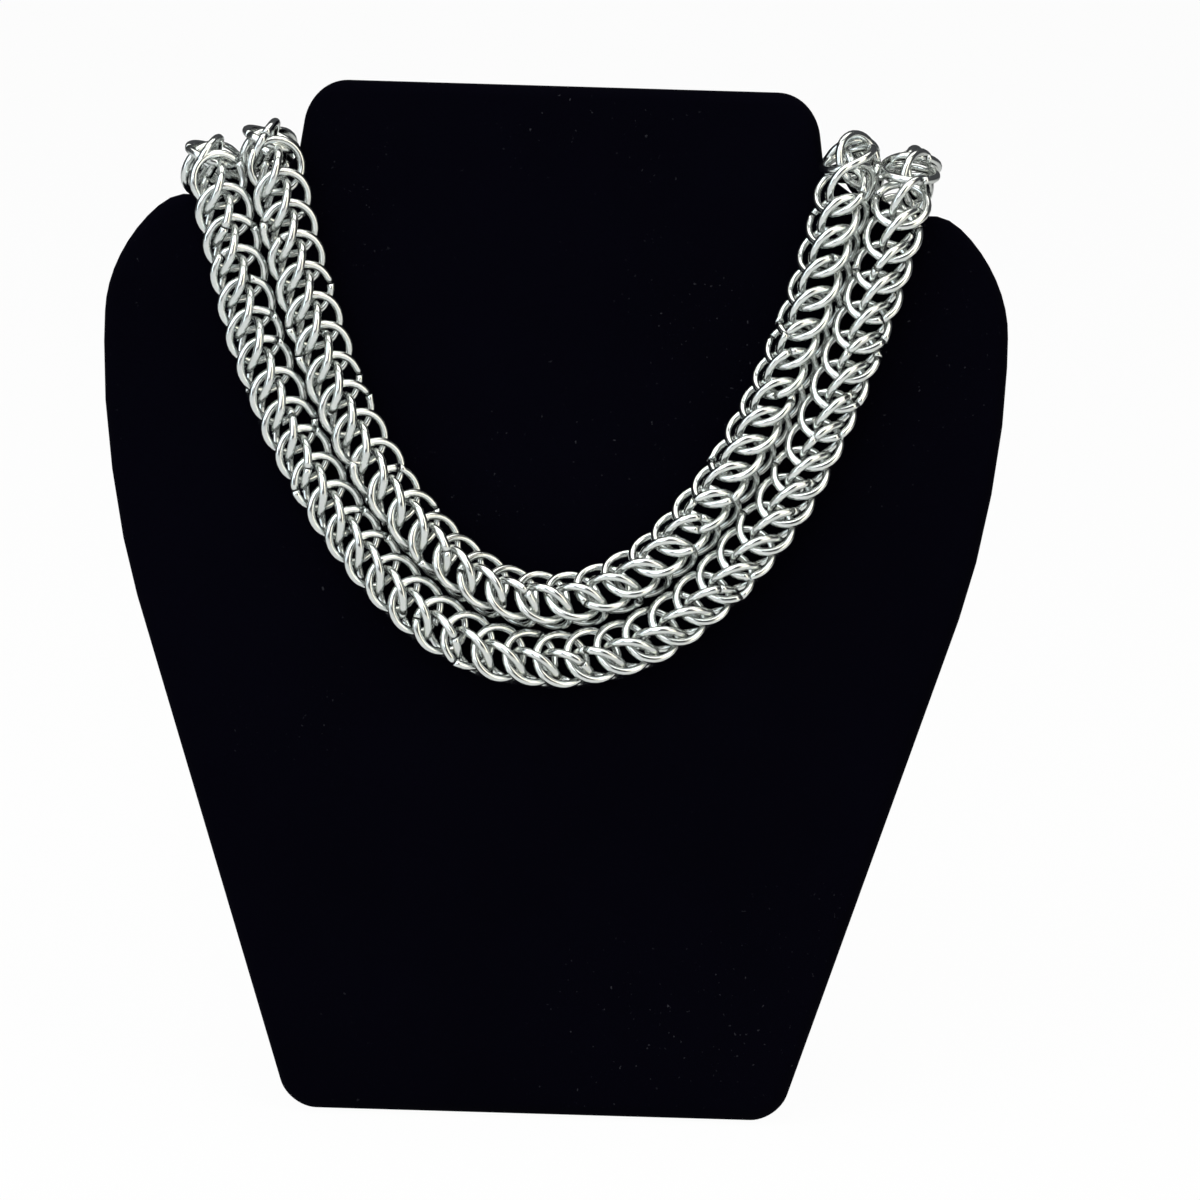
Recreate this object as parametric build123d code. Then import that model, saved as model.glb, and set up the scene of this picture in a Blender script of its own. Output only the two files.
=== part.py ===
from build123d import *
import math
import os

# Double chainmail necklace draped on a flat padded neck bust. Millimetres and degrees.
# Pieces are drawn in the board's own plane: X across, Y back from its front face, Z up the board.
# Each is then tipped back by the lean and stood on the table, which is Z = 0.

# padded board
board_width = 187.2
board_height = 213
board_thickness = 12
bottom_width = 101.4
bottom_rounding = 8
flare_height = 130.6
flare_rounding = 168
shoulder_fall = 12.5
shoulder_rounding = 30
notch_width = 109
notch_rounding = 3
neck_width = 104.6
neck_rise = 15
neck_rounding = 9
edge_rounding = 4.5
lean = 12
foot_shave = 0.5

# easel strut: a plain plate whose hinge tab lies on the board's back
strut_plate = 2.5
strut_tab_length = 16
strut_below_clasp = 9
strut_reach = 88
strut_top_width = 60
strut_foot_width = 90

# strands: ring tubes of the rings' own outer diameter
ring_diameter = 11.2
lie_gap = 0.3

# clasp: one bar that takes both rows at the middle of the back
clasp_width = 12
clasp_length = 26
clasp_thickness = 8
clasp_rounding = 2
clasp_drop = 48
row_spacing = 12

# heights up the board that the sizes above settle
notch_height = board_height - neck_rise
clasp_height = notch_height - clasp_drop
strut_hinge_height = clasp_height - clasp_length / 2 - strut_below_clasp - strut_tab_length

# largest share of its shorter run that an arc's tangent may take
arc_share = 0.45

# where each row lies on the front, across and down from the shoulder notches, from the left to the right
outer_front = [
    (-72.5, -0.2), (-67.1, 21.5), (-60.8, 43.8), (-49.5, 67.5), (-35.5, 86.8), (-18.5, 101.2), (1.5, 105.3),
    (20.5, 100.4), (37, 86.4), (50, 68), (58.8, 46.5), (65.9, 25.5), (72.6, -0.2),
]
inner_front = [
    (-60.8, -4.3), (-54.9, 19.7), (-48, 42.5), (-38.8, 62.5), (-26.5, 79), (-12, 90.6), (4, 92.6),
    (18.5, 86.6), (31, 74.2), (41.4, 57.5), (49.8, 37.5), (55.9, 18), (60.6, -4.3),
]
# where each row lies on the back, from a shoulder down and in to the clasp, on either side
outer_back = [(69.3, 23.4), (62, 36.5), (48.5, 47.5), (29, 54)]
inner_back = [(58.2, 19.4), (51.5, 31), (40, 38.7), (24, 42)]


def arc_radii(points, closed=False):
    """The largest tangent arc at each corner of a run of points."""
    corners = [Vector(*point) for point in points]
    if closed:
        corners = [corners[-1], *corners, corners[0]]
    radii = []
    for before, corner, after in zip(corners, corners[1:], corners[2:]):
        turn = (corner - before).get_angle(after - corner)
        shorter = min((corner - before).length, (after - corner).length)
        radii.append(arc_share * shorter / math.tan(math.radians(turn / 2)))
    return radii


def board_outline():
    half = [
        (bottom_width / 2, 0, bottom_rounding),
        (board_width / 2, flare_height, flare_rounding),
        (board_width / 2, notch_height - shoulder_fall, shoulder_rounding),
        (notch_width / 2, notch_height, notch_rounding),
        (neck_width / 2, board_height, neck_rounding),
    ]
    around = half + [(-across, height, rounding) for across, height, rounding in reversed(half)]
    points = [(across, 0, height) for across, height, rounding in around]
    roundings = [min(corner[2], room) for corner, room in zip(around, arc_radii(points, closed=True))]
    return FilletPolyline(*points, radius=roundings, close=True)


def board_rise():
    """Height of the board's own origin, with its rounded heel shaved flat on the table."""
    tilt = math.radians(lean)
    heel = (board_thickness - edge_rounding) * math.sin(tilt) + edge_rounding * (1 - math.cos(tilt))
    return heel - foot_shave


board_place = Pos(0, 0, board_rise()) * Rot(X=-lean)


def above_table(shape):
    room = 2 * board_height
    return shape & Pos(0, 0, room / 2) * Box(room, room, room)


def make_board():
    slab = extrude(make_face(board_outline()), amount=board_thickness, dir=(0, 1, 0))
    faces = slab.faces().sort_by(Axis.Y)
    padded = fillet(faces[0].edges() + faces[-1].edges(), edge_rounding)
    return above_table(board_place * padded)


def make_strut():
    """The plate's section in the plane across the board, bent at the hinge."""
    tip = Vector(0, math.sin(math.radians(lean)), math.cos(math.radians(lean)))
    out = Vector(0, tip.Z, -tip.Y)
    corner = (board_place * Pos(0, board_thickness, 0)).position
    hinge = corner + tip * strut_hinge_height
    tab_top = hinge + tip * strut_tab_length
    foot = Vector(0, strut_reach, 0)
    leg = (foot - hinge).normalized()
    leg_out = Vector(0, -leg.Z, leg.Y)
    # the bend's outer corner is where the two outer faces meet
    bend = strut_plate / (1 + out.dot(leg_out))
    outer_hinge = hinge + (out + leg_out) * bend
    outer_foot = foot + Vector(0, strut_plate / leg_out.Y, 0)
    section = Polyline(tab_top, tab_top + out * strut_plate, outer_hinge, outer_foot, foot, hinge, close=True)
    plate = extrude(make_face(section), amount=strut_foot_width / 2, dir=(1, 0, 0), both=True)
    taper = Polyline(
        (-strut_foot_width / 2, 0, 0), (strut_foot_width / 2, 0, 0), (strut_top_width / 2, 0, tab_top.Z),
        (-strut_top_width / 2, 0, tab_top.Z), close=True,
    )
    return plate & extrude(make_face(taper), amount=2 * strut_reach, dir=(0, 1, 0))


def strand_points(front, back, row_drop):
    """A row's whole way: out of the clasp, up the back, down and up the front, and back to it."""
    lie = ring_diameter / 2 + lie_gap
    behind = board_thickness + lie
    left_back = [(-across, behind, drop) for across, drop in reversed(back)]
    right_back = [(across, behind, drop) for across, drop in back]
    left_crest = (front[0][0], behind, front[0][1])
    right_crest = (front[-1][0], behind, front[-1][1])
    on_front = [(across, -lie, drop) for across, drop in front]
    left_end = (-clasp_width / 2, behind, row_drop)
    right_end = (clasp_width / 2, behind, row_drop)
    way = [left_end, *left_back, left_crest, *on_front, right_crest, *right_back, right_end]
    return [(across, deep, notch_height - drop) for across, deep, drop in way]


def make_strand(name, front, back, row_drop):
    points = strand_points(front, back, row_drop)
    edge_arc = edge_rounding + ring_diameter / 2 + lie_gap
    over_edge = [len(back), len(back) + 1, len(back) + len(front), len(back) + len(front) + 1]
    radii = arc_radii(points)
    for corner in over_edge:
        radii[corner] = min(radii[corner], edge_arc)
    path = FilletPolyline(*points, radius=radii)
    start = Plane(origin=path @ 0, z_dir=path % 0)
    tube = sweep(start * Circle(ring_diameter / 2), path=path)
    section = math.pi * ring_diameter**2 / 4
    print(name, "radii", [round(radius, 1) for radius in radii])
    print(name, "length", round(path.length, 1))
    print(name, "volume over section times length", round(tube.volume / section / path.length, 4))
    return board_place * tube


def make_clasp():
    bar = Box(clasp_width, clasp_thickness, clasp_length)
    ends = bar.edges().filter_by(Axis.X) + bar.edges().filter_by(Axis.Y)
    middle = board_thickness + ring_diameter / 2 + lie_gap
    return board_place * Pos(0, middle, clasp_height) * fillet(ends, clasp_rounding)


def main():
    pieces = {
        "display_board": make_board(),
        "easel_strut": make_strut(),
        "outer_strand": make_strand("outer_strand", outer_front, outer_back, clasp_drop + row_spacing / 2),
        "inner_strand": make_strand("inner_strand", inner_front, inner_back, clasp_drop - row_spacing / 2),
        "clasp": make_clasp(),
    }
    # the origin is under the middle of the whole model
    boxes = [piece.bounding_box() for piece in pieces.values()]
    across = min(box.min.X for box in boxes) + max(box.max.X for box in boxes)
    deep = min(box.min.Y for box in boxes) + max(box.max.Y for box in boxes)
    centred = Pos(-across / 2, -deep / 2, 0)
    os.makedirs("parts", exist_ok=True)
    for name, piece in pieces.items():
        export_step(centred * piece, f"parts/{name}.step")


main()
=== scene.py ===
import bmesh
import bpy
import math
import random
from mathutils import Matrix, Vector, noise


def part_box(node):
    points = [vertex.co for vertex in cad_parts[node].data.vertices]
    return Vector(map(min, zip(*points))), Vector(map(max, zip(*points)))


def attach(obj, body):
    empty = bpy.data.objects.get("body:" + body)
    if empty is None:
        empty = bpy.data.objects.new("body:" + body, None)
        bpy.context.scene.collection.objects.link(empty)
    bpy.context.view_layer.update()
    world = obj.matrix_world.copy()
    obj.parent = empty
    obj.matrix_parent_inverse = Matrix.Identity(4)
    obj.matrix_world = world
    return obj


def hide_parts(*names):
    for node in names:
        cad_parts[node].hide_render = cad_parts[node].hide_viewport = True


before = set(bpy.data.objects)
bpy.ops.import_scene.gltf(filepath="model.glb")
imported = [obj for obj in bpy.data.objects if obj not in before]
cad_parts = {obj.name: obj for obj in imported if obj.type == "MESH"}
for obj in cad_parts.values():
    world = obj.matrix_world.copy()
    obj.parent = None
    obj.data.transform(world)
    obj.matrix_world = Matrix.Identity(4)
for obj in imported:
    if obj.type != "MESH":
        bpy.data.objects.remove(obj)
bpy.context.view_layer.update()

mm = 0.001


class Shade:  # wraps one output socket, so shader maths reads as plain sums
    def __init__(self, maker, socket):
        self.maker = maker
        self.socket = socket

    def combine(self, operation, first, second):
        return self.maker.node("ShaderNodeMath", {"operation": operation}, {0: first, 1: second})

    def __add__(self, other):
        return self.combine("ADD", self, other)

    def __radd__(self, other):
        return self.combine("ADD", other, self)

    def __mul__(self, other):
        return self.combine("MULTIPLY", self, other)

    def __rmul__(self, other):
        return self.combine("MULTIPLY", other, self)


class Finish:  # the nodes that one material, or the world, is made of
    def __init__(self, owner, output="ShaderNodeOutputMaterial"):
        owner.use_nodes = True
        self.owner = owner
        self.tree = owner.node_tree
        self.tree.nodes.clear()
        self.output = self.tree.nodes.new(output)

    def node(self, kind, settings=None, inputs=None, output=0):
        made = self.tree.nodes.new(kind)
        for name, value in (settings or {}).items():
            if name == "stops":
                self.setStops(made.color_ramp.elements, value)
            else:
                setattr(made, name, value)
        for name, value in (inputs or {}).items():
            if isinstance(value, Shade):
                self.tree.links.new(value.socket, made.inputs[name])
            else:
                made.inputs[name].default_value = value
        return Shade(self, made.outputs[output])

    def setStops(self, elements, stops):
        while len(elements) < len(stops):
            elements.new(0.5)
        for element, (position, grey) in zip(elements, stops):
            element.position = position
            element.color = (grey, grey, grey, 1)

    def coordinates(self, kind="Object"):
        return self.node("ShaderNodeTexCoord", output=kind)

    def noise(self, vector, scale, detail, roughness=0.5):
        sockets = {"Vector": vector, "Scale": scale, "Detail": detail, "Roughness": roughness}
        return self.node("ShaderNodeTexNoise", {}, sockets)

    def ramp(self, value, stops):
        return self.node("ShaderNodeValToRGB", {"stops": stops}, {"Fac": value})

    def mix(self, factor, first, second):
        sockets = {0: factor, 6: first, 7: second}
        return self.node("ShaderNodeMix", {"data_type": "RGBA"}, sockets, output=2)

    def stretch(self, vector, scale):
        return self.node("ShaderNodeMapping", {}, {"Vector": vector, "Scale": scale})

    def bump(self, height, strength, distance):
        sockets = {"Height": height, "Strength": strength, "Distance": distance}
        return self.node("ShaderNodeBump", {}, sockets)

    def close(self, shader):
        self.tree.links.new(shader.socket, self.output.inputs["Surface"])
        return self.owner

    def surface(self, **inputs):
        named = {name.replace("_", " "): value for name, value in inputs.items()}
        return self.close(self.node("ShaderNodeBsdfPrincipled", {}, named))


wireLook = {
    "stretch": (2.0, 16.0, 1.0),  # the streaks run along the wire
    "streaks": (3.0, 4.0, 0.6),  # a noise's scale, detail and roughness, here and below
    "patches": (260.0, 2.0),
    "dark": (0.66, 0.68, 0.67, 1),
    "pale": (0.82, 0.84, 0.81, 1),
    "rough": 0.09,
    "roughStreaks": 0.1,
    "roughPatches": 0.05,
    "bump": 0.25,
    "bumpDepth": 0.05 * mm,
}


def ringSteel():
    steel = Finish(bpy.data.materials.new("ringSteel"))
    along = steel.stretch(steel.coordinates("UV"), wireLook["stretch"])
    streaks = steel.noise(along, *wireLook["streaks"])
    patches = steel.noise(steel.coordinates(), *wireLook["patches"])
    rough = wireLook["rough"] + wireLook["roughStreaks"] * streaks + wireLook["roughPatches"] * patches
    return steel.surface(
        Base_Color=steel.mix(patches, wireLook["dark"], wireLook["pale"]),
        Metallic=1.0,
        Roughness=rough,
        Normal=steel.bump(streaks, wireLook["bump"], wireLook["bumpDepth"]),
    )


claspLook = {
    "stretch": (1.0, 1.0, 14.0),
    "grain": (180.0, 4.0, 0.6),
    "dark": (0.6, 0.6, 0.6, 1),
    "pale": (0.8, 0.79, 0.77, 1),
    "rough": 0.16,
    "roughGrain": 0.14,
    "bump": 0.2,
    "bumpDepth": 0.05 * mm,
}


def claspSteel():
    steel = Finish(bpy.data.materials.new("claspSteel"))
    along = steel.stretch(steel.coordinates(), claspLook["stretch"])
    grain = steel.noise(along, *claspLook["grain"])
    return steel.surface(
        Base_Color=steel.mix(grain, claspLook["dark"], claspLook["pale"]),
        Metallic=1.0,
        Roughness=claspLook["rough"] + claspLook["roughGrain"] * grain,
        Normal=steel.bump(grain, claspLook["bump"], claspLook["bumpDepth"]),
    )


velvetLook = {
    "pile": (2600.0, 3.0, 0.6),
    "nap": (26.0, 4.0, 0.6),
    "dark": (0.0004, 0.0003, 0.0016, 1),
    "pale": (0.001, 0.0008, 0.003, 1),
    "specks": (1150.0, 1.0),
    "speckStops": [(0.0, 0.0), (0.735, 0.0), (0.8, 1.0)],
    "dust": (17.0, 2.0),  # lint gathers only where this is high
    "dustStops": [(0.0, 0.0), (0.5, 0.0), (0.68, 1.0)],
    "lint": 0.45,
    "lintColour": (0.07, 0.07, 0.08, 1),
    "rough": 0.95,
    "gloss": 0.02,
    "sheen": 0.02,
    "sheenRough": 0.4,
    "sheenTint": (0.35, 0.36, 0.45, 1),
    "bump": 0.5,
    "bumpNap": 0.6,
    "bumpDepth": 0.25 * mm,
}


def blackVelvet():
    velvet = Finish(bpy.data.materials.new("blackVelvet"))
    where = velvet.coordinates()
    pile = velvet.noise(where, *velvetLook["pile"])
    nap = velvet.noise(where, *velvetLook["nap"])
    specks = velvet.ramp(velvet.noise(where, *velvetLook["specks"]), velvetLook["speckStops"])
    dusty = velvet.ramp(velvet.noise(where, *velvetLook["dust"]), velvetLook["dustStops"])
    lint = specks * dusty
    cloth = velvet.mix(nap, velvetLook["dark"], velvetLook["pale"])
    relief = pile + velvetLook["bumpNap"] * nap
    return velvet.surface(
        Base_Color=velvet.mix(lint * velvetLook["lint"], cloth, velvetLook["lintColour"]),
        Roughness=velvetLook["rough"],
        Specular_IOR_Level=velvetLook["gloss"],
        Sheen_Weight=velvetLook["sheen"],
        Sheen_Roughness=velvetLook["sheenRough"],
        Sheen_Tint=velvetLook["sheenTint"],
        Normal=velvet.bump(relief, velvetLook["bump"], velvetLook["bumpDepth"]),
    )


cardLook = {
    "fibre": (900.0, 5.0, 0.65),
    "rub": (34.0, 4.0, 0.6),
    "rubStops": [(0.3, 0.0), (0.8, 1.0)],
    "dark": (0.012, 0.012, 0.013, 1),
    "pale": (0.03, 0.029, 0.03, 1),
    "rough": 0.62,
    "roughFibre": 0.2,
    "gloss": 0.35,
    "bump": 0.35,
    "bumpDepth": 0.12 * mm,
}


def blackCard():
    card = Finish(bpy.data.materials.new("blackCard"))
    where = card.coordinates()
    fibre = card.noise(where, *cardLook["fibre"])
    rub = card.ramp(card.noise(where, *cardLook["rub"]), cardLook["rubStops"])
    return card.surface(
        Base_Color=card.mix(rub, cardLook["dark"], cardLook["pale"]),
        Roughness=cardLook["rough"] + cardLook["roughFibre"] * fibre,
        Specular_IOR_Level=cardLook["gloss"],
        Normal=card.bump(fibre, cardLook["bump"], cardLook["bumpDepth"]),
    )


finishes = {
    "ringSteel": ringSteel(),
    "claspSteel": claspSteel(),
    "blackVelvet": blackVelvet(),
    "blackCard": blackCard(),
}
print("finishes made:", len(finishes))


def addObject(bm, name, material):
    mesh = bpy.data.meshes.new(name)
    bm.to_mesh(mesh)
    bm.free()
    mesh.materials.append(material)
    made = bpy.data.objects.new(name, mesh)
    bpy.context.scene.collection.objects.link(made)
    return made


def addPiece(bm, name, finish):
    piece = addObject(bm, name, finishes[finish])
    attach(piece, "root")
    return piece


board = {
    "width": 187.2 * mm,
    "height": 213 * mm,
    "thickness": 12 * mm,
    "bottomWidth": 101.4 * mm,
    "bottomRounding": 8 * mm,
    "flareHeight": 130.6 * mm,
    "flareRounding": 168 * mm,
    "shoulderHeight": 185.5 * mm,
    "shoulderRounding": 30 * mm,
    "notchWidth": 109 * mm,
    "notchHeight": 198 * mm,
    "notchRounding": 3 * mm,
    "neckWidth": 104.6 * mm,
    "neckRounding": 9 * mm,
    "cornerStep": 6,  # degrees of a rounded corner that one straight piece takes
    "cornerLeast": 4,  # the fewest pieces in a corner
    "edgeRounding": 4.5 * mm,
    "edgeSteps": 5,
    "lean": math.radians(12),
    "gridStep": 6 * mm,  # the cloth is cut this fine, so that it can swell
    "crown": 0.25 * mm,  # how far the padding stands proud away from the edges
    "ripple": 0.12 * mm,
    "rippleLength": 24 * mm,
    "creases": [-72.5 * mm, -60.8 * mm, 60.6 * mm, 72.6 * mm],  # where the rows press on the shoulders
    "creaseDepth": 3.6 * mm,
    "creaseReach": 6 * mm,
    "creaseFade": 6.75 * mm,  # how far below the shoulder's edge a crease dies out
    "flatWithin": 0.1 * mm,  # two ends that are closer in depth than this lie in one plane
    "cutWithin": 0.001 * mm,  # a corner this close to a cut is taken to lie on it
}

backCard = {
    "margin": 7 * mm,  # from the board's outline to the recess in its back
    "depth": 0.7 * mm,
    "wall": 0.2 * mm,  # the recess's slanted wall
    "gap": 0.25 * mm,
    "rounding": 0.2 * mm,
}


def boardPlace():  # the board's own plane: X across, Y back from its face, Z up it
    lean, rounding = board["lean"], board["edgeRounding"]
    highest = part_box("display_board")[1]
    backReach = (board["thickness"] - rounding) * math.cos(lean)
    backReach += (board["height"] - rounding) * math.sin(lean) + rounding
    topReach = (board["height"] - rounding) * math.cos(lean) - rounding * math.sin(lean) + rounding
    stood = Matrix.Translation((0, highest[1] - backReach, highest[2] - topReach))
    return stood @ Matrix.Rotation(-lean, 4, "X")


place = boardPlace()


def outlineFace(bm):
    half = [
        (board["bottomWidth"] / 2, 0, board["bottomRounding"]),
        (board["width"] / 2, board["flareHeight"], board["flareRounding"]),
        (board["width"] / 2, board["shoulderHeight"], board["shoulderRounding"]),
        (board["notchWidth"] / 2, board["notchHeight"], board["notchRounding"]),
        (board["neckWidth"] / 2, board["height"], board["neckRounding"]),
    ]
    around = half + [(-across, height, rounding) for across, height, rounding in reversed(half)]
    corners = [Vector((across, 0, height)) for across, height, rounding in around]
    verts = [bm.verts.new(corner) for corner in corners]
    bm.faces.new(verts)
    for index, vert in enumerate(verts):
        before = corners[index] - corners[index - 1]
        after = corners[(index + 1) % len(corners)] - corners[index]
        turn = before.angle(after)
        steps = max(board["cornerLeast"], round(math.degrees(turn) / board["cornerStep"]))
        bmesh.ops.bevel(
            bm, geom=[vert], offset=around[index][2] * math.tan(turn / 2), offset_type="OFFSET",
            segments=steps, profile=0.5, affect="VERTICES", material=-1,
        )
    return next(iter(bm.faces))


def thicken(bm, depth):
    raised = bmesh.ops.extrude_face_region(bm, geom=bm.faces[:])["geom"]
    moved = [part for part in raised if isinstance(part, bmesh.types.BMVert)]
    bmesh.ops.translate(bm, verts=moved, vec=(0, depth, 0))
    bmesh.ops.recalc_face_normals(bm, faces=bm.faces[:])


def rimEdges(bm):  # the edges round the two flat faces, not those through the thickness
    ends = [(edge, edge.verts[0].co.y, edge.verts[1].co.y) for edge in bm.edges]
    return [edge for edge, first, second in ends if abs(first - second) < board["flatWithin"]]


def cutGrid(bm):
    step = board["gridStep"]
    for normal, reach in (((1, 0, 0), board["width"] / 2), ((0, 0, 1), board["height"])):
        for index in range(-int(reach / step), int(reach / step) + 1):
            bmesh.ops.bisect_plane(
                bm, geom=bm.verts[:] + bm.edges[:] + bm.faces[:], dist=board["cutWithin"],
                plane_co=Vector(normal) * index * step, plane_no=normal,
            )


def swelling(point):  # how far the padding stands proud of the front
    ripple = noise.noise(point / board["rippleLength"]) * board["ripple"]
    flat = max(0.0, 1 - point.y / board["edgeRounding"])
    return (board["crown"] + ripple) * flat ** 2


def pressing(point):  # how far the rows press the shoulders down
    rise = board["notchHeight"] - board["shoulderHeight"]
    run = (board["width"] - board["notchWidth"]) / 2
    shoulder = board["notchHeight"] - rise / run * (abs(point.x) - board["notchWidth"] / 2)
    close = min(max(1 - (shoulder - point.z) / board["creaseFade"], 0.0), 1.0)
    press = sum(math.exp(-((point.x - across) / board["creaseReach"]) ** 2) for across in board["creases"])
    return board["creaseDepth"] * min(press, 1.0) * close


def makeBoard():
    bm = bmesh.new()
    outlineFace(bm)
    thicken(bm, board["thickness"])
    bmesh.ops.bevel(
        bm, geom=rimEdges(bm), offset=board["edgeRounding"], offset_type="OFFSET",
        segments=board["edgeSteps"], profile=0.5, affect="EDGES", material=-1, clamp_overlap=True,
    )
    # the front is as large as the back, but less deep
    backFace = max(bm.faces, key=lambda face: face.calc_area() + face.calc_center_median().y)
    inset = backCard["margin"] - board["edgeRounding"]
    bmesh.ops.inset_region(bm, faces=[backFace], thickness=inset, depth=0)
    bmesh.ops.inset_region(bm, faces=[backFace], thickness=backCard["wall"], depth=-backCard["depth"])
    cutGrid(bm)
    for vert in bm.verts:
        if vert.co.y < board["thickness"] / 2:
            vert.co.y -= swelling(vert.co)
        vert.co.z -= pressing(vert.co)
    bmesh.ops.transform(bm, matrix=place, verts=bm.verts)
    for vert in bm.verts:
        vert.co.z = max(vert.co.z, 0.0)  # the heel is pressed flat on the table
    for face in bm.faces:
        face.smooth = True
    piece = addPiece(bm, "velvet_board", "blackVelvet")
    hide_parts("display_board")


def makeBackCard():
    bm = bmesh.new()
    face = outlineFace(bm)
    inset = backCard["margin"] + backCard["gap"]
    bmesh.ops.inset_region(bm, faces=[face], thickness=inset, depth=0, use_boundary=True)
    bmesh.ops.delete(bm, geom=[other for other in bm.faces if other != face], context="FACES")
    thicken(bm, backCard["depth"])
    bmesh.ops.bevel(
        bm, geom=rimEdges(bm), offset=backCard["rounding"], offset_type="OFFSET", segments=1,
        profile=0.5, affect="EDGES", material=-1,
    )
    bmesh.ops.translate(bm, verts=bm.verts, vec=(0, board["thickness"] - backCard["depth"], 0))
    bmesh.ops.transform(bm, matrix=place, verts=bm.verts)
    addPiece(bm, "back_card", "blackCard")


makeBoard()
makeBackCard()
print("board made")

ring = {
    "wire": 1.72 * mm,
    "radius": 5.4 * mm,  # to the middle of the wire
    "steps": 16,
    "wireSides": 6,
    "ringShrink": 0.975,  # one level of subdivision draws a loop of so many steps in to this share
    "wireShrink": 0.82,  # and a wire of so many sides to this
    "cut": math.radians(3.2),  # the seam where the wire's ends meet
    "grainShift": (7, 3),  # how far each ring's streaks may be moved, round the ring and round the wire
}


def makeRing():
    bm = bmesh.new()
    section = bmesh.ops.create_circle(
        bm, cap_ends=False, segments=ring["wireSides"], radius=ring["wire"] / 2 / ring["wireShrink"]
    )["verts"]
    bmesh.ops.rotate(bm, verts=section, cent=(0, 0, 0), matrix=Matrix.Rotation(math.pi / 2, 3, "X"))
    bmesh.ops.translate(bm, verts=section, vec=(ring["radius"] / ring["ringShrink"], 0, 0))
    bmesh.ops.spin(
        bm, geom=bm.edges[:], cent=(0, 0, 0), axis=(0, 0, 1), dvec=(0, 0, 0),
        angle=2 * math.pi - ring["cut"], steps=ring["steps"], use_merge=False,
    )
    ends = [edge for edge in bm.edges if edge.is_boundary]
    bmesh.ops.holes_fill(bm, edges=ends, sides=0)
    bmesh.ops.recalc_face_normals(bm, faces=bm.faces[:])
    crease = bm.edges.layers.float.new("crease_edge")
    layer = bm.loops.layers.uv.new("wire")
    for face in bm.faces:
        face.smooth = len(face.verts) == 4  # the wire's two cut ends stay flat and sharp
        for edge in face.edges:
            edge[crease] = float(edge[crease] or not face.smooth)
        for loop in face.loops:
            loop[layer].uv = wirePlace(loop.vert.co, face.calc_center_median())
    mesh = bpy.data.meshes.new("ring")
    bm.to_mesh(mesh)
    bm.free()
    return mesh


def unwrapped(angle, near):  # the same angle, written as the turn nearest to another one
    return angle + 2 * math.pi * round((near - angle) / (2 * math.pi))


def wirePlace(point, middle):  # turns round the ring and round the wire, on the lap of its face's middle
    about = ring["radius"] / ring["ringShrink"]
    turnMiddle = math.atan2(middle.y, middle.x) % (2 * math.pi)
    turn = unwrapped(math.atan2(point.y, point.x), turnMiddle)
    aroundMiddle = math.atan2(middle.z, math.hypot(middle.x, middle.y) - about)
    around = unwrapped(math.atan2(point.z, math.hypot(point.x, point.y) - about), aroundMiddle)
    return Vector((turn, around)) / (2 * math.pi)


ringMesh = makeRing()

weave = {
    "pitch": 1.215,  # lengths here are shares of the ring's radius
    # one cell's front ring and its standing ring: middle, then the way it faces, as across, out and along
    "cell": [((0.0, 0.28, 0.0), (0.0, 0.944, 0.33)), ((-0.25, 0.0, 0.2), (0.88, -0.16, 0.42))],
    "start": 0.4,  # the share of a cell that comes before its front ring
    "looseTurn": 1.6,  # degrees that a ring may hang off its place
    "looseShift": 0.012,
}

rows = {
    "lie": 5.9 * mm,  # from the board's face to the middle of a row
    "claspWidth": 12,  # in millimetres, as the points of both rows are
    "lineSteps": 24,  # the smooth line's points for each of the row's own
    "frameStep": 0.5 * mm,
    "frameReach": 1 * mm,  # how far ahead and behind the line's run is taken
}

outerRow = {
    # where it lies on the front, across and down from the shoulder notches
    "front": [
        (-72.5, -0.2), (-67.1, 21.5), (-60.8, 43.8), (-49.5, 67.5), (-35.5, 86.8), (-18.5, 101.2),
        (1.5, 105.3), (20.5, 100.4), (37, 86.4), (50, 68), (58.8, 46.5), (65.9, 25.5), (72.6, -0.2),
    ],
    # and on the back, from a shoulder down and in to the clasp, on either side
    "back": [(69.3, 23.4), (62, 36.5), (48.5, 47.5), (29, 54)],
    "claspDrop": 54,
    # how far it is rolled about its own line, in degrees, by its share of the way
    "roll": [
        (0, 8), (0.12, 8), (0.19, 55), (0.205, 55), (0.25, 8), (0.5, 10), (0.62, 6), (0.76, 3), (1, 3),
    ],
    "sinkLeft": 6.0 * mm,  # how deep it beds down where it bends over the shoulder
    "sinkRight": 1.1 * mm,
    "seed": 11,
}

innerRow = {
    "front": [
        (-60.8, -4.3), (-54.9, 19.7), (-48, 42.5), (-38.8, 62.5), (-26.5, 79), (-12, 90.6),
        (4, 92.6), (18.5, 86.6), (31, 74.2), (41.4, 57.5), (49.8, 37.5), (55.9, 18), (60.6, -4.3),
    ],
    "back": [(58.2, 19.4), (51.5, 31), (40, 38.7), (24, 42)],
    "claspDrop": 42,
    "roll": [
        (0, 8), (0.12, 8), (0.19, 55), (0.205, 55), (0.25, 2), (0.36, 6), (0.5, 20), (0.62, 26), (1, 26),
    ],
    "sinkLeft": 8.2 * mm,
    "sinkRight": 5.6 * mm,
    "seed": 12,
}


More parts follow.
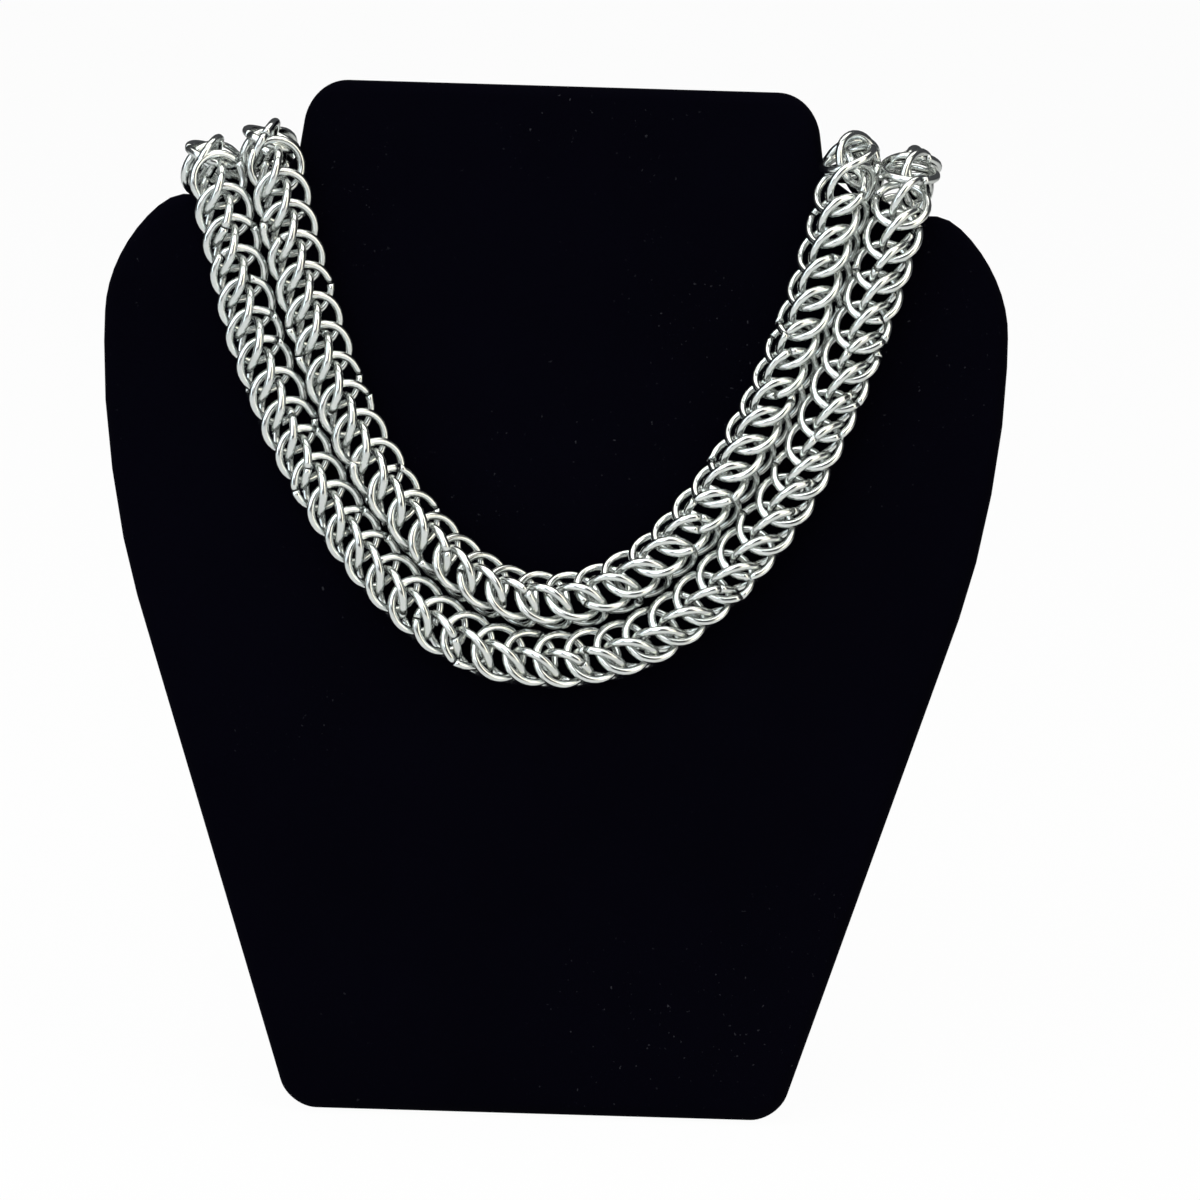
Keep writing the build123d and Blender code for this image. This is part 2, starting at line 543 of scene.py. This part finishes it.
def rowPoints(row):
    behind = board["thickness"] / mm + rows["lie"] / mm
    left, right = row["front"][0], row["front"][-1]
    way = [(-rows["claspWidth"] / 2, behind, row["claspDrop"])]
    way += [(-across, behind, drop) for across, drop in reversed(row["back"])]
    way += [(left[0], behind, left[1])]
    way += [(across, -rows["lie"] / mm, drop) for across, drop in row["front"]]
    way += [(right[0], behind, right[1])]
    way += [(across, behind, drop) for across, drop in row["back"]]
    way += [(rows["claspWidth"] / 2, behind, row["claspDrop"])]
    return [Vector((across * mm, deep * mm, board["notchHeight"] - drop * mm)) for across, deep, drop in way]


def smoothLine(points):
    curve = bpy.data.curves.new("way", "CURVE")
    curve.dimensions = "3D"
    spline = curve.splines.new("NURBS")
    spline.points.add(len(points) - 1)
    for made, point in zip(spline.points, points):
        made.co = (*point, 1)
    spline.order_u = 3
    spline.use_endpoint_u = True
    spline.resolution_u = rows["lineSteps"]
    holder = bpy.data.objects.new("way", curve)
    mesh = bpy.data.meshes.new_from_object(holder)
    line = [vert.co.copy() for vert in mesh.vertices]
    bpy.data.objects.remove(holder)
    bpy.data.meshes.remove(mesh)
    bpy.data.curves.remove(curve)
    return line


def settled(line, row):  # where a row bends over the board's edge it sinks into the padding
    moved = []
    for before, here, after in zip([line[0], *line], line, [*line[1:], line[-1]]):
        run = (after - before).normalized()
        slope = 1 - abs(run.z)
        depth = min(max((here.y + rows["lie"]) / (board["thickness"] + 2 * rows["lie"]), 0.0), 1.0)
        middle = 4 * depth * (1 - depth)  # none at either face, all of it midway between them
        sink = row["sinkRight"] if here.x > 0 else row["sinkLeft"]
        moved.append(here - Vector((0, 0, sink * slope * middle)))
    return moved


def lengthsAlong(line):
    lengths = [0.0]
    for before, after in zip(line, line[1:]):
        lengths.append(lengths[-1] + (after - before).length)
    return lengths


def pointAt(line, lengths, distance):
    distance = min(max(distance, 0.0), lengths[-1])
    index = next(i for i in range(1, len(lengths)) if lengths[i] >= distance)
    share = (distance - lengths[index - 1]) / (lengths[index] - lengths[index - 1])
    return line[index - 1].lerp(line[index], share)


def framesAlong(line):
    lengths = lengthsAlong(line)
    count = round(lengths[-1] / rows["frameStep"])
    reach = rows["frameReach"]
    outward = Vector((0, 1, 0))
    frames = []
    for index in range(count + 1):
        distance = lengths[-1] * index / count
        here = pointAt(line, lengths, distance)
        along = pointAt(line, lengths, distance + reach) - pointAt(line, lengths, distance - reach)
        along.normalize()
        outward = (outward - along * outward.dot(along)).normalized()
        frames.append((here, along, outward))
    return lengths[-1], frames


def valueAt(stations, share):  # eases from each station to the next
    for (before, low), (after, high) in zip(stations, stations[1:]):
        if share <= after:
            blend = (share - before) / (after - before)
            return low + (high - low) * blend * blend * (3 - 2 * blend)
    return stations[-1][1]


def ringPlaces(line, row):  # where each ring stands, with a random number for its streaks
    draw = random.Random(row["seed"])
    length, frames = framesAlong(line)
    cells = round(length / (weave["pitch"] * ring["radius"]))
    pitch = length / cells
    places = []
    for cell in range(cells):
        for middle, facing in weave["cell"]:
            distance = (cell + weave["start"]) * pitch + middle[2] * ring["radius"]
            share = distance / length
            here, along, outward = frames[min(len(frames) - 1, round(share * (len(frames) - 1)))]
            roll = Matrix.Rotation(-math.radians(valueAt(row["roll"], share)), 3, along)
            out = roll @ outward
            across = out.cross(along)
            normal = across * facing[0] + out * facing[1] + along * facing[2]
            loose = Vector((draw.gauss(0, 1), draw.gauss(0, 1), draw.gauss(0, 1))) * weave["looseShift"]
            centre = here + (across * middle[0] + out * middle[1] + loose) * ring["radius"]
            wobble = Matrix.Rotation(math.radians(draw.gauss(0, weave["looseTurn"])), 4, along)
            turned = (wobble @ normal).to_track_quat("Z", "X").to_matrix().to_4x4()
            seam = Matrix.Rotation(draw.uniform(0, 2 * math.pi), 4, "Z")
            places.append((Matrix.Translation(centre) @ turned @ seam, draw.random()))
    return places


def makeRow(name, node, row):
    line = settled(smoothLine(rowPoints(row)), row)
    places = ringPlaces(line, row)
    bm = bmesh.new()
    for matrix, chance in places:
        mesh = ringMesh.copy()
        mesh.transform(matrix)
        for loop in mesh.uv_layers["wire"].uv:
            loop.vector.x += chance * ring["grainShift"][0]
            loop.vector.y += chance * ring["grainShift"][1]
        bm.from_mesh(mesh)
        bpy.data.meshes.remove(mesh)
    bmesh.ops.transform(bm, matrix=place, verts=bm.verts)
    piece = addPiece(bm, name, "ringSteel")
    rounding = piece.modifiers.new("rounding", "SUBSURF")
    rounding.levels = rounding.render_levels = 1
    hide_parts(node)
    print(name, len(places), "rings on", round(lengthsAlong(line)[-1] / mm, 1), "mm")


makeRow("outer_rings", "outer_strand", outerRow)
makeRow("inner_rings", "inner_strand", innerRow)

plainPieces = {"easel_strut": "blackCard", "clasp": "claspSteel"}  # these keep their own shape
for node, finish in plainPieces.items():
    mesh = bpy.data.objects[node].data
    mesh.materials.clear()
    mesh.materials.append(finishes[finish])
print("strut and clasp finished")

stage = {
    "floorSize": 8.0,
    "floorGrain": (3.0, 2.0),
    "floorDark": (0.8, 0.8, 0.8, 1),
    "floorPale": (0.83, 0.83, 0.83, 1),
    "floorRough": 0.9,
    "floorWhite": 0.97,  # how far the camera sees plain white in place of the lit floor
    "worldGrey": 0.07,
    "worldTint": (0.9, 0.93, 1.0, 1),
    "seenWhite": (1, 1, 1, 1),
}


def makeStage():
    bm = bmesh.new()
    bmesh.ops.create_grid(bm, x_segments=1, y_segments=1, size=stage["floorSize"] / 2)
    pale = Finish(bpy.data.materials.new("paleFloor"))
    grain = pale.noise(pale.coordinates(), *stage["floorGrain"])
    colour = pale.mix(grain, stage["floorDark"], stage["floorPale"])
    lit = pale.node("ShaderNodeBsdfPrincipled", {}, {"Base Color": colour, "Roughness": stage["floorRough"]})
    bright = pale.node("ShaderNodeEmission", {}, {"Color": stage["seenWhite"], "Strength": 1.0})
    seen = pale.node("ShaderNodeLightPath")
    either = pale.node("ShaderNodeMixShader", {}, {0: seen * stage["floorWhite"], 1: lit, 2: bright})
    floor = addObject(bm, "floor", pale.close(either))


def makeWorld():
    world = bpy.data.worlds.new("studio")
    bpy.context.scene.world = world
    air = Finish(world, "ShaderNodeOutputWorld")
    soft = {"Color": stage["worldTint"], "Strength": stage["worldGrey"]}
    around = air.node("ShaderNodeBackground", {}, soft)
    bright = air.node("ShaderNodeBackground", {}, {"Color": stage["seenWhite"], "Strength": 1.0})
    seen = air.node("ShaderNodeLightPath")
    air.close(air.node("ShaderNodeMixShader", {}, {0: seen, 1: around, 2: bright}))


lamps = {  # where each soft box stands, its width and height in metres, its watts and its tint
    "key": {"at": (-1.12, -0.8, 0.8), "size": (0.8, 1.7), "watts": 9.0, "tint": (0.84, 0.93, 1.0)},
    "front": {"at": (-0.35, -1.2, 0.95), "size": (0.7, 1.5), "watts": 7.3, "tint": (0.93, 0.97, 1.0)},
    "fill": {"at": (0.98, -0.85, 0.6), "size": (0.75, 1.4), "watts": 5.8, "tint": (1.0, 0.95, 0.82)},
    "top": {"at": (0.0, -0.62, 1.3), "size": (1.7, 0.55), "watts": 6.4, "tint": (0.97, 1.0, 0.97)},
    "back": {"at": (0.0, 0.12, 1.45), "size": (1.7, 0.6), "watts": 7.2, "tint": (1.0, 0.99, 0.95)},
}
lampAim = Vector((0, 0, 0.12))  # they all face the middle of the board


def makeLamps():
    for name, lamp in lamps.items():
        light = bpy.data.lights.new(name, "AREA")
        light.shape = "RECTANGLE"
        light.size, light.size_y = lamp["size"]
        light.energy = lamp["watts"]
        light.color = lamp["tint"]
        holder = bpy.data.objects.new(name, light)
        holder.location = lamp["at"]
        holder.rotation_euler = (lampAim - Vector(lamp["at"])).to_track_quat("-Z", "Y").to_euler()
        bpy.context.scene.collection.objects.link(holder)


photo = {
    "span": 247.9 * mm,  # what the picture's width takes in at the board's face
    "aimAcross": 10.7 * mm,
    "aimHeight": 106.8 * mm,
    "roll": math.radians(1.7),
    "distance": 0.9,
    "sensor": 36,
    "clipStart": 0.05,
}


def makeCamera():
    camera = bpy.data.cameras.new("camera")
    camera.sensor_width = photo["sensor"]
    camera.lens = photo["sensor"] * photo["distance"] / photo["span"]
    camera.clip_start = photo["clipStart"]
    holder = bpy.data.objects.new("camera", camera)
    bpy.context.scene.collection.objects.link(holder)
    facing = Matrix.Rotation(-photo["roll"], 4, "Y") @ Matrix.Rotation(math.pi / 2, 4, "X")
    stood = Matrix.Translation((photo["aimAcross"], -photo["distance"], photo["aimHeight"]))
    holder.matrix_world = place @ stood @ facing
    bpy.context.scene.camera = holder


makeStage()
makeWorld()
makeLamps()
makeCamera()
bpy.context.scene.view_settings.view_transform = "Standard"
print("stage, lamps and camera set")
